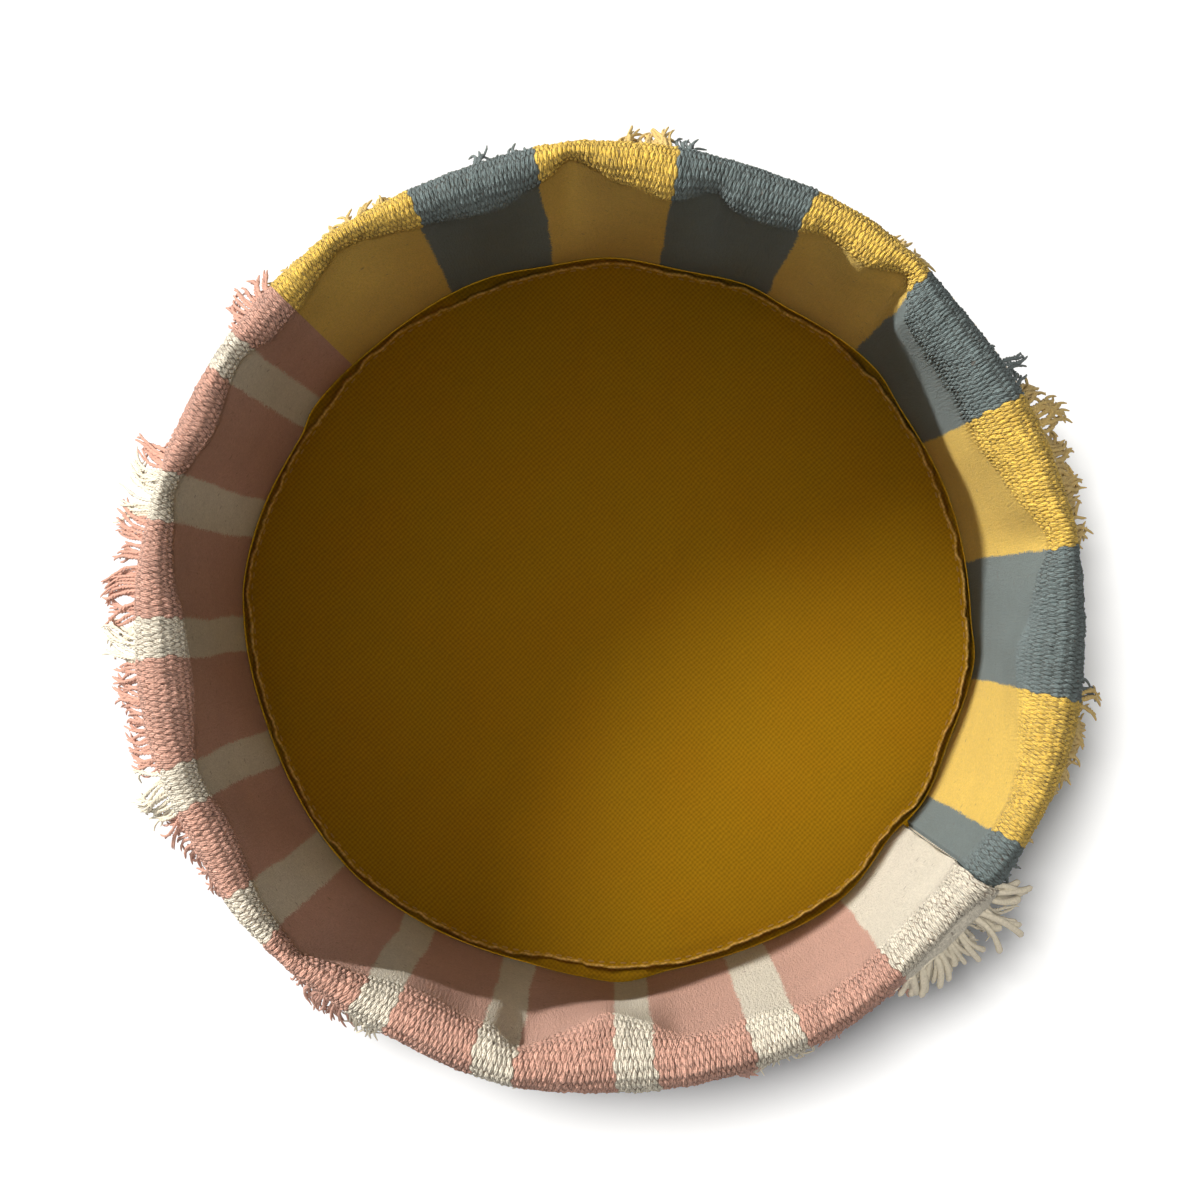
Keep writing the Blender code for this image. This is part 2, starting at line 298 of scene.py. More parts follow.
def makeFloor():
    values = lightSettings
    half = values["floorSize"] / 2
    mesh = bpy.data.meshes.new("floor")
    corners = [(x * half, y * half, -0.0002) for x, y in ((-1, -1), (1, -1), (1, 1), (-1, 1))]
    mesh.from_pydata(corners, [], [(0, 1, 2, 3)])
    floor = linkObject("studioFloor", mesh)
    material = bpy.data.materials.new("paleFloor")
    material.use_nodes = True
    tree = material.node_tree
    tree.nodes.clear()
    matte = addNode(tree, "BsdfDiffuse", {"Color": values["floorColour"] + (1,)})
    strength = times(addNode(tree, "LightPath").outputs["Is Camera Ray"], values["floorGlow"])
    glow = addNode(tree, "Emission", {"Color": (1, 1, 1, 1), "Strength": strength})
    both = addNode(tree, "AddShader", {0: matte.outputs[0], 1: glow.outputs[0]})
    addNode(tree, "OutputMaterial", {"Surface": both.outputs[0]})
    mesh.materials.append(material)
    return floor


def makeLight(floor):
    values = lightSettings
    for name in ("key", "top", "base", "corner"):
        addSun(name)
    addSun("floor", values["skyColour"])
    linkLamp("key", floor, "EXCLUDE")
    linkLamp("top", floor, "EXCLUDE")
    linkLamp("floor", floor, "INCLUDE")
    world = bpy.data.worlds.new("sky")
    bpy.context.scene.world = world
    world.use_nodes = True
    tree = world.node_tree
    tree.nodes.clear()
    sky = addNode(tree, "Background", {"Color": values["skyColour"] + (1,), "Strength": values["skyStrength"]})
    white = addNode(tree, "Background", {"Color": (1, 1, 1, 1)})
    seen = addNode(tree, "LightPath").outputs["Is Camera Ray"]
    mix = addNode(tree, "MixShader", {0: seen, 1: sky.outputs[0], 2: white.outputs[0]})
    addNode(tree, "OutputWorld", {"Surface": mix.outputs[0]})
    bpy.context.scene.view_settings.view_transform = "Standard"


# curves and noise that the shapes are made of
def curveAt(table, angles):
    # smooth periodic curve through (angle, value) points
    places = np.array([place for place, value in table], dtype=float)
    values = np.array([value for place, value in table], dtype=float)
    places = np.concatenate((places - 360, places, places + 360))
    values = np.tile(values, 3)
    slopes = np.zeros_like(values)
    slopes[1:-1] = (values[2:] - values[:-2]) / (places[2:] - places[:-2])
    angles = (np.asarray(angles, dtype=float) + 180) % 360 - 180
    index = np.searchsorted(places, angles, side="right") - 1
    width = places[index + 1] - places[index]
    part = (angles - places[index]) / width
    square, cube = part ** 2, part ** 3
    return ((2 * cube - 3 * square + 1) * values[index] + (cube - 2 * square + part) * width * slopes[index]
            + (3 * square - 2 * cube) * values[index + 1] + (cube - square) * width * slopes[index + 1])


def hashAt(first, second, seed):
    # even spread of numbers from 0 to 1, the same every run
    value = np.sin(first * 12.9898 + second * 78.233 + seed * 37.719) * 43758.5453
    return value - np.floor(value)


def smoothNoise(first, second, seed):
    lowFirst, lowSecond = np.floor(first), np.floor(second)
    partFirst, partSecond = first - lowFirst, second - lowSecond
    partFirst = partFirst ** 2 * (3 - 2 * partFirst)
    partSecond = partSecond ** 2 * (3 - 2 * partSecond)

    def edge(low):
        return hashAt(low, lowSecond, seed) * (1 - partSecond) + hashAt(low, lowSecond + 1, seed) * partSecond

    return edge(lowFirst) * (1 - partFirst) + edge(lowFirst + 1) * partFirst


# the basket's shape, shared by wall, fringe, threads and insert
basketShape = dict(
    height=0.290,
    rimRadius=0.2255,
    clothThickness=0.0030,
    wallFootHeight=0.0043,
    rollRise=0.017,
    cuffDepth=0.040,
    cuffTuck=0.002,          # the cuff lies this far inside the rim where it doesn't flare
    tuckedFlare=0.0015,      # flare at which the tuck is gone
    crestShare=0.36,         # where the roll is highest, from its outer side inwards
    leanPower=1.6,
    innerBend=0.78,          # below 1 the roll's inner side runs on into the wall without an edge
    firstSeam=135.6,
    secondSeam=-34.4,
    cuffPoints=11,           # points of the wall's section along the cuff, the roll and the wall
    rollPoints=39,
    wallPoints=46,
)

rimShares = (
    (-180, 1.004), (-165, 1.008), (-150, 1.003), (-142, 1.010), (-130, 1.004), (-116, 0.999),
    (-106, 1.009), (-90, 1.003), (-65, 0.999), (-50, 1.000), (-40, 1.006), (-29, 1.000),
    (-16, 1.011), (0, 1.002), (20, 1.004), (40, 0.996), (50, 1.004), (64, 1.003),
    (70, 0.999), (82, 1.003), (95, 1.008), (110, 0.997), (126, 1.003), (145, 1.001),
    (165, 0.999),
)

rollWidths = (    # mm from the roll's inner edge to the rim
    (-180, 22.4), (-170, 25), (-160, 17.7), (-150, 19.5), (-142, 13.8), (-136, 10.5), (-133, 8.4),
    (-130, 13), (-125, 18.3), (-119, 24.5), (-110, 24.5), (-106, 24.7), (-102, 18), (-97, 27),
    (-91, 37), (-88, 36), (-84, 31), (-80, 24), (-70, 23.5), (-60, 18.5), (-45, 24), (-35, 22),
    (-25, 17), (-15, 26), (-5, 31.5), (0, 26), (5, 21.5), (10, 14), (15, 22), (20, 26.5),
    (25, 29), (30, 27), (37, 25), (45, 24), (47, 17), (49, 10), (54, 19.5), (60, 17),
    (65, 22), (73, 22), (76, 16.5), (81, 24.5), (86, 22), (90, 17.5), (92, 13), (95, 7.4),
    (98, 15), (105, 23), (115, 17.5), (120, 13.3), (126, 7.4), (130, 12), (134, 16), (140, 16.7),
    (145, 11), (155, 16.5), (160, 11.6), (164, 7.4), (168, 11.7), (175, 17),
)

weaveBeyond = (    # mm that the open weave runs on down the wall, past its usual end under the roll
    (-180, 0), (-100, 0), (-92, 2), (-80, 0), (-50, 0), (-44, 4), (-36, 4), (-32, 0), (12, 0),
    (19, 4), (25, 20), (30, 28), (37, 28), (42, 20), (46, 8), (50, 0), (65, 0), (72, 3), (80, 0),
    (110, 0), (115, 2), (122, 0),
)

seamDrift = 0.9    # degrees that the second seam has crept round by, fading out beside it

cuffFlares = (    # mm that the cuff's free edge stands out past the roll, seen from above
    (-180, 0), (-90, 0), (-62, 0), (-55, 1.5), (-49, 5), (-42, 7), (-37, 6), (-33.5, 1), (-30, 0), (0, 0),
    (10, 0.5), (16, 1.7), (42, 1.9), (50, 1.0), (58, 0), (120, 0),
)

footRadii = (    # mm, inner face of the wall at the floor
    (-180, 191.8), (-160, 188.2), (-135, 190.3), (-125, 188.7), (-105, 186.6), (-95, 189.2),
    (-88, 191.8), (-80, 188.2), (-65, 189.2), (-50, 191.8), (-38, 187.6), (-30, 191.3),
    (-20, 189.8), (-7, 192.9), (0, 189.8), (20, 188.7), (35, 187.7), (43, 190.8),
    (60, 187.1), (67, 188.4), (78, 185.6), (90, 188.2), (100, 186.6), (110, 188.7),
    (130, 187.7), (145, 189.8), (150, 187.3), (165, 190.8), (175, 192.6),
)

ridgeRadii = (    # mm, the pinched welt round the insert
    (-180, 187), (-160, 186), (-140, 187.4), (-130, 187.6), (-120, 186), (-110, 183.9),
    (-100, 180.5), (-95, 181.3), (-80, 183.9), (-65, 183.4), (-50, 187), (-40, 186),
    (-30, 188), (-25, 187), (-10, 187.6), (0, 187.6), (10, 186.5), (20, 183.9),
    (30, 185.4), (45, 184.6), (50, 185.0), (60, 185), (75, 183.8), (90, 183.9),
    (105, 181.8), (120, 182.3), (130, 184.6), (140, 182.9), (150, 183.4), (160, 186),
    (170, 188), (175, 189),
)

checkStripes = (    # yarn and share of the panel's arc, clockwise from its first seam
    ("yellow", 0.1147), ("slate", 0.0994), ("yellow", 0.1006), ("slate", 0.1059), ("yellow", 0.0965),
    ("slate", 0.1100), ("yellow", 0.1170), ("slate", 0.1100), ("yellow", 0.1124), ("slate", 0.0335),
)
stripeStripes = (
    ("cream", 0.0842), ("pink", 0.0758), ("cream", 0.0316), ("pink", 0.0663), ("cream", 0.0284),
    ("pink", 0.0668), ("cream", 0.0289), ("pink", 0.0626), ("cream", 0.0253), ("pink", 0.0679),
    ("cream", 0.0326), ("pink", 0.0679), ("cream", 0.0295), ("pink", 0.0684), ("cream", 0.0289),
    ("pink", 0.0668), ("cream", 0.0300), ("pink", 0.0705), ("cream", 0.0284), ("pink", 0.0392),
)


def rimAt(angles):
    return basketShape["rimRadius"] * curveAt(rimShares, angles)


def footAt(angles):
    return mm * curveAt(footRadii, angles)


def drifted(angles):
    return angles - seamDrift * np.exp(-((angles - basketShape["secondSeam"]) / 4.0) ** 2)


def flareAt(angles):
    return mm * np.clip(curveAt(cuffFlares, angles), 0, 8)


def rollWidthAt(angles):
    return mm * np.maximum(curveAt(rollWidths, angles), 7.2)


def softSwell(angles, share):
    # slow dents and swells of the soft wall between foot and roll
    turn = np.radians(angles)
    wave = (0.55 * np.sin(7 * turn + 1.3) * np.sin(2.6 * share + 0.4) + 0.45 * np.sin(11 * turn - 2.1 + 3 * share)
            + 0.35 * np.sin(17 * turn + 4.5 * share + 0.7))
    return 0.0013 * wave * np.sin(np.pi * np.clip(share, 0, 1)) ** 0.8


def wallSection(angles):
    # radius and height from the cuff's lower edge, over the roll, down to the foot; one row per angle
    values = basketShape
    rim = rimAt(angles)[:, None]
    width = rollWidthAt(angles)[:, None]
    foot = footAt(angles)[:, None]
    flare = flareAt(angles)[:, None]
    foldHeight = values["height"] - values["rollRise"]
    cuffShare = np.linspace(0, 1, values["cuffPoints"] + 1)[None, :-1]
    tuck = values["cuffTuck"] * np.clip(1 - flare / values["tuckedFlare"], 0, 1)
    cuffRadius = rim - tuck * (1 - cuffShare) ** 1.5 - flare * cuffShare ** 1.4
    edgeHeight = values["height"] - values["cuffDepth"] + 1.5 * flare
    cuffHeight = edgeHeight + (foldHeight - edgeHeight) * cuffShare
    swing = np.linspace(0, math.pi, values["rollPoints"] + 1)[None, :-1]
    outer = rim - flare
    crest = outer - (outer - rim + width) * (values["crestShare"] - 20 * flare)
    outside = swing < math.pi / 2
    inward = (swing - math.pi / 2) * values["innerBend"]
    farthest = math.pi / 2 * values["innerBend"]
    inside = crest - (crest - rim + width) * np.sin(inward) / math.sin(farthest)
    rollRadius = np.where(outside, crest + (outer - crest) * np.cos(swing), inside)
    slope = (np.cos(inward) - math.cos(farthest)) / (1 - math.cos(farthest))
    rollHeight = foldHeight + values["rollRise"] * np.where(outside, np.sin(np.clip(swing, 0, math.pi)) ** 0.9, slope)
    share = np.linspace(1, 0, values["wallPoints"])[None, :]
    wallRadius = foot + (rim - width - foot) * share ** values["leanPower"]
    wallRadius = wallRadius + softSwell(np.asarray(angles)[:, None], share)
    wallHeight = values["wallFootHeight"] + (foldHeight - values["wallFootHeight"]) * share
    ones = np.ones_like(rim)
    radius = np.concatenate((cuffRadius, rollRadius, wallRadius), axis=1)
    height = np.concatenate((cuffHeight * ones, rollHeight * ones, wallHeight * ones), axis=1)
    return radius, height


def stripeEdges(start, span, stripes):
    edges = []
    reached = 0.0
    for yarn, share in stripes:
        edges.append((yarn, start - span * reached, start - span * (reached + share)))
        reached += share
    return edges


def panelSpans():
    # start and span of each panel, in degrees, clockwise seen from above
    first, second = basketShape["firstSeam"], basketShape["secondSeam"]
    return (first, first - second), (second, 360 - (first - second))


# woven cloth: its weave, its materials and the two wall panels
weaveValues = dict(
    rowPitch=0.0054,         # along the weft, from one warp to the next
    yarnPitch=dict(checkCloth=0.0022, stripeCloth=0.0027),    # round the basket, between floats of a row
    smoothPitch=0.014,       # row pitch where the cloth is felted smooth
    rowsPerFloat=4,
    columnsPerYarn=4,
    relief=0.0016,
    smoothRelief=0.07,
    zigzag=0.12,             # sideways swing of the floats from row to row, in yarns
    floatLength=1.38,        # rows that one float reaches over
    stray=0.46,              # how far floats wander off the even grid
    fineLength=0.084,        # cloth from the cuff's edge that has modelled floats
    coarseRows=10,
    backStep=8,              # fine columns for each column of the hidden face
    plyTurns=1.15,
    plySlant=2.3,
    underlap=1.1,            # degrees that the check panel reaches under the other one
    underlapSunk=0.0042,     # how far its hidden edge lies back
    edgeRise=0.0026,         # how far the other panel's edge stands up over it
    edgeRagged=0.75,         # degrees that this edge wanders
    lumps=0.0009,
    fadeStart=0.20,          # from here on, in roll widths past the roll's inner edge, the weave closes up
    fadeSwing=0.30,
    fadeLength=0.72,
    cuffWeave=(0.016, 0.006),    # metres from the cuff's edge where the weave opens, and how softly
    # painted shade for the hollows between floats and the grooves between plies
    pitShadeColour=(0.30, 0.22, 0.17, 1.0),
    speckColour=(0.10, 0.065, 0.045, 1.0),
    wallShadeTones=(0.80, 1.04),    # brightness of the smooth cloth down the wall and of the open weave; the smooth cloth's lower value is painted shade
    bumpDepth=0.00065,
)


def floatHeights(columns, rows):
    # height of the woven yarn, 0 to 1, and the column of the float that shows
    row = np.floor(rows)
    odd = row % 2
    shifted = columns - 0.5 * odd
    nearest = np.floor(shifted + 0.5)
    across = shifted - nearest
    along = rows - row - 0.5

    def lens(sideways, lengthways):
        # each float narrows towards its ends, where those of the next row lie between
        taper = np.clip(np.cos(np.pi * lengthways / weaveValues["floatLength"]), 0.02, 1)
        return np.sqrt(np.clip(1 - np.abs(2 * sideways / taper) ** 2.4, 0, 1)) * (0.5 + 0.5 * taper)

    own = lens(across, along)
    other = lens(0.5 - np.abs(across), 1 - np.abs(along))
    centre = nearest + 0.5 * odd
    shown = np.where(own >= other, centre, centre + 0.5 * np.sign(across))
    return np.maximum(own, other), shown


def makeFloatGroup():
    results = ("Height", "Column", "Ply", "Tone", "Grain", "Patch")
    tree, source = newGroup("wovenFloats", ("Weave",), ("Relief",), results)
    split = addNode(tree, "SeparateXYZ", {0: source["Weave"]}).outputs
    columns, rows = split[0], split[1]
    row = maths("FLOOR", rows)
    halfOdd = times(maths("FLOORED_MODULO", row, 2.0), 0.5)
    shifted = minus(columns, halfOdd)
    nearest = maths("FLOOR", plus(shifted, 0.5))
    across = minus(shifted, nearest)
    along = minus(minus(rows, row), 0.5)

    def lens(sideways, lengthways):
        swing = maths("COSINE", times(lengthways, math.pi / weaveValues["floatLength"]))
        taper = maths("MAXIMUM", swing, 0.02)
        aside = maths("DIVIDE", times(maths("ABSOLUTE", sideways), 2.0), taper)
        left = minus(1.0, maths("POWER", aside, 2.4))
        return times(maths("SQRT", maths("MAXIMUM", left, 0.0)), maths("MULTIPLY_ADD", taper, 0.5, 0.5))

    own = lens(across, along)
    other = lens(minus(0.5, maths("ABSOLUTE", across)), minus(1.0, maths("ABSOLUTE", along)))
    step = times(maths("SIGN", across), 0.5)
    shown = plus(plus(nearest, halfOdd), times(step, maths("GREATER_THAN", other, own)))
    cell = addNode(tree, "CombineXYZ", {0: shown, 1: row}).outputs[0]
    spread = addNode(tree, "TexWhiteNoise", {"Vector": cell}).outputs["Value"]
    aside = minus(columns, shown)
    turns = plus(times(rows, weaveValues["plyTurns"]), times(aside, weaveValues["plySlant"]), spread)
    ply = maths("POWER", maths("ABSOLUTE", maths("SINE", times(turns, math.pi))), 0.7)
    grain = addNoise(source["Weave"], 3.1, 3.0, 0.65)
    # where the cloth is felted, the stripes' edges follow the yarns less closely
    plain = minus(1.0, source["Relief"])
    ragged = times(minus(grain, 0.5), addRange(plain, 0.0, 1.0, 0.0, 0.5))
    column = plus(shown, times(aside, times(plain, 0.92)), ragged)
    return closeGroup(tree, Height=maths("MAXIMUM", own, other), Column=column, Ply=ply, Tone=spread, Grain=grain,
                      Patch=addNoise(source["Weave"], 0.23, 2.0, 0.5))


def makeFuzzGroup():
    # cotton's fine fibres, pills and the odd dark speck
    tree, source = newGroup("cottonFuzz", ("Place",), (), ("Fibre", "Cloud", "Speck"))
    place = source["Place"]
    return closeGroup(tree, Fibre=addNoise(place, 700.0, 3.0, 0.65), Cloud=addNoise(place, 28.0, 3.0, 0.55),
                      Speck=addRange(addNoise(place, 260.0, 1.0, 0.4), 0.735, 0.775))


def makeClothMaterial(name, stripes, columnCount):
    material, tree, shader = newMaterial(name, 0.95, 0.10)
    relief = storedMark(tree, "relief")["Fac"]
    floats = placeGroup(tree, floatGroup, Weave=storedMark(tree, "weave")["Vector"], Relief=relief)
    fuzz = placeGroup(tree, fuzzGroup, Place=objectPlace(tree))

    def byRelief(smooth, woven):
        return addRange(relief, 0.0, 1.0, smooth, woven)

    def around(value, share):
        # 1 on average, with a share of the value's swing
        return maths("MULTIPLY_ADD", minus(value, 0.5), share, 1.0)

    ramp = addNode(tree, "ValToRGB")
    ramp.color_ramp.interpolation = "CONSTANT"
    marks = ramp.color_ramp.elements
    reached = 0.0
    for number, (yarn, share) in enumerate(stripes):
        mark = marks[number] if number < 2 else marks.new(reached)
        mark.position = reached
        mark.color = yarnColours[yarn]
        reached += share
    teeth = times(minus(fuzz["Fibre"], 0.5), byRelief(3.0, 0.0))
    feed(ramp.inputs["Fac"], maths("DIVIDE", plus(floats["Column"], teeth), float(columnCount)))
    colour = ramp.outputs["Color"]
    # painted shade: the colour darkens towards the pit shade where the floats leave hollows, and a little in the ply
    # grooves
    gap = times(minus(1.0, floats["Height"]), relief)
    groove = times(minus(1.0, floats["Ply"]), relief)
    shadedPitColour = addMix(1.0, colour, weaveValues["pitShadeColour"], "MULTIPLY")
    pit = times(addRange(gap, 0.40, 0.86, 0.0, 0.90), addRange(floats["Patch"], 0.35, 0.65, 0.45, 1.0))
    colour = addMix(plus(pit, times(groove, 0.34)), colour, shadedPitColour)
    # painted shade: the smooth cloth down the wall is made darker than the open weave
    tone = times(around(floats["Tone"], byRelief(0.02, 0.24)),
                 addRange(relief, 0.0, 0.9, *weaveValues["wallShadeTones"]),
                 addRange(fuzz["Cloud"], 0.3, 0.7, 0.965, 1.035),
                 around(fuzz["Fibre"], byRelief(0.75, 1.30)),
                 around(floats["Grain"], byRelief(0.12, 0.95)))
    colour = addMix(times(fuzz["Speck"], 0.55), toned(colour, tone), weaveValues["speckColour"])
    feed(shader["Base Color"], colour)
    height = plus(times(floats["Ply"], times(relief, 1.15)), times(fuzz["Fibre"], byRelief(2.9, 2.4)),
                  times(floats["Height"], plus(relief, 0.05)), times(floats["Grain"], byRelief(0.8, 3.2)))
    feed(shader["Normal"], addBump(height, weaveValues["bumpDepth"]))
    return material


def makePanel(name, node, slot, start, span, stripes, underlap, edgeRise):
    values = weaveValues
    shape = basketShape
    columnCount = int(round(math.radians(span) * shape["rimRadius"] / values["yarnPitch"][name]))
    total = columnCount * values["columnsPerYarn"]
    total += -total % values["backStep"] + (values["backStep"] if underlap else 0)
    columns = np.arange(total + 1) / values["columnsPerYarn"]
    if not underlap:
        columns = columns * columnCount / columns[-1]
    angles = start - span * columns / columnCount
    columns = columns[:, None]
    radius, height = wallSection(angles)
    steps = np.hypot(np.diff(radius, axis=1), np.diff(height, axis=1))
    length = np.concatenate((np.zeros((len(angles), 1)), np.cumsum(steps, axis=1)), axis=1)
    edgeLength = length[:, shape["cuffPoints"] + shape["rollPoints"], None]    # where the roll ends

    # rows of points at even steps along the cloth, then a few down the hidden part of the wall
    fineCount = int(round(values["fineLength"] / values["rowPitch"] * values["rowsPerFloat"]))
    fine = np.arange(fineCount + 1) * values["rowPitch"] / values["rowsPerFloat"]
    part = (np.arange(values["coarseRows"]) + 1) / values["coarseRows"]
    coarse = fine[-1] + (length[:, -1:] - fine[-1]) * part
    rows = np.concatenate((fine + np.zeros((len(angles), 1)), coarse), axis=1)
    flatRadius = np.stack([np.interp(*line) for line in zip(rows, length, radius)])
    flatHeight = np.stack([np.interp(*line) for line in zip(rows, length, height)])
    slopeRadius, slopeHeight = np.gradient(flatRadius, axis=1), np.gradient(flatHeight, axis=1)
    size = np.hypot(slopeRadius, slopeHeight) + 1e-9

    # where each point lies in the weave, in yarns round and rows along
    beyond = rows - edgeLength
    weaveRows = np.where(beyond <= 0, rows / values["rowPitch"],
                         edgeLength / values["rowPitch"] + beyond / values["smoothPitch"])
    plainColumns = columns + np.zeros_like(weaveRows)

    def wander(columnScale, rowScale, seed):
        return smoothNoise(plainColumns * columnScale, weaveRows * rowScale, seed) - 0.5

    weaveColumns = (plainColumns + wander(0.55, 0.8, 3.0) * values["stray"] + wander(0.13, 0.21, 4.0) * 1.1
                    + values["zigzag"] * (np.abs(weaveRows % 2 - 1) - 0.5))
    drift = wander(0.9, 0.35, 5.0) * values["stray"] * 0.7 + wander(0.08, 0.1, 6.0) * 0.6
    weaveRows = np.maximum(weaveRows + drift, 0.0)

    # how open the weave is: full on the roll, felted smooth down the wall
    width = rollWidthAt(angles)[:, None]
    further = mm * curveAt(weaveBeyond, angles)[:, None]
    reach = (values["fadeStart"] + wander(0.16, 0.5, 9.0) * values["fadeSwing"]) * width + further
    fade = np.clip((reach - beyond) / (values["fadeLength"] * width), 0, 1)
    relief = values["smoothRelief"] + (1 - values["smoothRelief"]) * fade * fade * (3 - 2 * fade)
    yarn, shown = floatHeights(weaveColumns, weaveRows)
    plump = 0.72 + 0.45 * hashAt(np.round(shown * 2), np.floor(weaveRows), 1.0)
    lumps = wander(0.33, 0.5, 7.0) * values["lumps"] * relief
    hidden = np.clip((columns - columnCount + 1.5) / 1.5, 0, 1) if underlap else 0
    shift = edgeRise * np.exp(-(columns / 6) ** 2) * (0.16 + 0.84 * fade) - hidden * values["underlapSunk"]
    opens, softly = values["cuffWeave"]
    onCuff = np.clip(1 - (rows - opens) / softly, 0, 1) * np.clip(flareAt(angles)[:, None] / 0.004, 0, 1)
    relief = relief * (1 - 0.75 * onCuff)
    turn = np.radians(drifted(angles))[:, None] + 0 * rows
    if edgeRise:
        turn = turn + wander(0, 1.3, 8.0) * math.radians(values["edgeRagged"]) * np.clip(1 - columns / 2, 0, 1)

    def surface(lift):
        raised = np.maximum(flatHeight - slopeRadius / size * lift, shape["wallFootHeight"])
        return ringPoints(flatRadius + slopeHeight / size * lift, turn, raised)

    backColumns = np.arange(0, total + 1, values["backStep"])
    backRows = np.unique(np.concatenate((np.arange(0, fineCount + 1, 4), np.arange(fineCount, rows.shape[1]))))
    coarsely = np.ix_(backColumns, backRows)
    front = surface(values["relief"] * relief * yarn * plump + lumps + shift)
    back = surface(shift - shape["clothThickness"])[coarsely]
    points = np.concatenate((front.reshape(-1, 3), back.reshape(-1, 3)))
    number = np.arange(rows.size).reshape(rows.shape)
    backNumber = rows.size + np.arange(back.size // 3).reshape(back.shape[:2])
    faces = gridFaces(number) + gridFaces(backNumber.T)
    for block, (low, high) in enumerate(zip(backColumns[:-1], backColumns[1:])):
        near, far = backNumber[block], backNumber[block + 1]
        faces.append(number[low:high + 1, 0].tolist() + [int(far[0]), int(near[0])])
        faces.append(number[low:high + 1, -1].tolist()[::-1] + [int(near[-1]), int(far[-1])])
    faces.append(backNumber[0].tolist() + number[0, ::-1].tolist())
    faces.append(number[-1].tolist() + backNumber[-1, ::-1].tolist())

    piece = meshPiece(name, points.tolist(), faces, makeClothMaterial(name + "Yarn", stripes, columnCount), 85.0)
    flat = np.zeros_like(weaveRows)
    weave = np.stack((weaveColumns, weaveRows, flat), axis=2).reshape(-1, 3)
    backWeave = np.stack((weaveColumns, rows / values["rowPitch"], flat), axis=2)[coarsely].reshape(-1, 3)
    storeMarks(piece, "weave", np.concatenate((weave, backWeave)), "FLOAT_VECTOR", "vector")
    outside = 0.8 * (np.arange(rows.shape[1]) > fineCount * 0.75) + flat    # below the cuff the back shows
    storeMarks(piece, "relief", np.concatenate((relief.ravel(), outside[coarsely].ravel())))
    standIn(piece, "basket", node)


def makeWall():
    checks, bands = panelSpans()
    makePanel("checkCloth", "check_panel", "slate_yarn", *checks, checkStripes, weaveValues["underlap"], 0.0)
    makePanel("stripeCloth", "stripe_panel", "pink_yarn", *bands, stripeStripes, 0.0, weaveValues["edgeRise"])
    print("woven wall made")


# fringe of yarn ends, one piece for each stripe
fringeValues = dict(
    tailLength=0.046,
    rootHeight=0.2525,
    lengths=(0.90, 1.08),    # the pairs are the least and the most that one end may have
    sinks=(-0.006, 0.002),
    splits=(0.62, 0.92),     # share of its length at which its two plies part
    forks=(0.1, 1.5),
    thicknesses=(0.88, 1.12),
    plyRadius=0.00068,
    twistRadius=0.00058,
    twistPitch=0.0070,
    selvage=0.0009,          # radius of the cord at the cuff's free edge
    segments=16,
    sides=6,
    bunched=0.12,            # how far each end is pulled to its bunch's middle
    strays=0.3,              # share of the ends that lie between the bunches
    fanAngles=(-54, -34),    # where the cream ends splay in a fan
    fanShare=0.62,           # reach of the shorter ends in the fan
    fanBows=(-0.0035, 0.0035),
    fanRadii=(0.0011, 0.0020),
    fanSegments=18,
    fanSides=8,
    seed=4060,
)

tailHabits = {    # sway of a bunch, and stray, curl and fork of each end, in metres; thick, short and long are shares
    "pink": dict(pitch=0.0013, bunch=9, sway=0.0110, stray=0.0020, curl=0.0028, fork=0.0012,
                 thick=0.95, short=0.30, long=1.15),
    "cream": dict(pitch=0.0014, bunch=7, sway=0.0080, stray=0.0030, curl=0.0032, fork=0.0030,
                  thick=0.92, short=0.32, long=1.15),
    "yellow": dict(pitch=0.0014, bunch=5, sway=0.0080, stray=0.0034, curl=0.0032, fork=0.0026,
                   thick=1.20, short=0.62, long=0.98),
    "slate": dict(pitch=0.0026, bunch=3, sway=0.0060, stray=0.0022, curl=0.0020, fork=0.0020,
                  thick=1.05, short=0.85, long=0.95),
}

fanLeans = (    # degrees that the tails lean round from straight out, at the lower right
    (-60, 0), (-56, -10), (-52, -30), (-46, -22), (-43, -12), (-40, 2), (-36, 12), (-33.8, 4), (-30, 0), (100, 0),
)

fringeReach = (    # mm that the longest yarn ends stand out beyond the rim
    (-180, 20), (-172, 18), (-163, 17), (-158, 18), (-154, 16), (-150, 10), (-147, 9), (-144, 2),
    (-134, 3), (-131, 10), (-126, 12), (-120, 9), (-117, 0), (-108, 0), (-100, 4), (-97, -2),
    (-78, -2), (-73, 10), (-70, 8), (-66, 7), (-62, 9), (-58, 0), (-52, 4), (-49, 17),
    (-46, 22), (-44.5, 24), (-41, 27), (-40, 33), (-37, 29), (-34.5, 24), (-33.6, 13), (-31, 13), (-28, 7),
    (-24, 6), (-20, 13), (-17, 16), (-12, 18), (-8, 14), (-6, 2), (0, -2), (8, 2),
    (10, 12), (16.5, 18), (22, 18), (25, 20), (28, 20), (31, 12), (33, 18), (36, 9),
    (39, 1), (46, 2), (49, 9), (52, 8), (56, 0), (70, -1), (78, 4), (80, 16),
    (83, 17), (87, 15), (90, 2), (97, 2), (101, 11), (103.5, 9), (107.5, 11), (111, 2),
    (118, 5), (120, 9.5), (126, 12), (129, 4), (134, 8), (138, 14), (139.5, 18), (142, 10),
    (145, 0), (155, 0), (159, 10), (160, 24), (161, 20), (164, 22), (166, 18), (172, 20),
)


def makeYarnMaterial(yarn):
    material, tree, shader = newMaterial(yarn + "Ends", 0.95, 0.06)
    fuzz = placeGroup(tree, fuzzGroup, Place=objectPlace(tree))
    tone = times(addRange(fuzz["Fibre"], 0.3, 0.7, 0.84, 1.14), addRange(fuzz["Cloud"], 0.3, 0.7, 0.93, 1.06))
    # the cut ends' colour carries painted shade
    feed(shader["Base Color"], toned(shadedEndColours[yarn], tone))
    feed(shader["Normal"], addBump(fuzz["Fibre"], 0.0004))
    return material


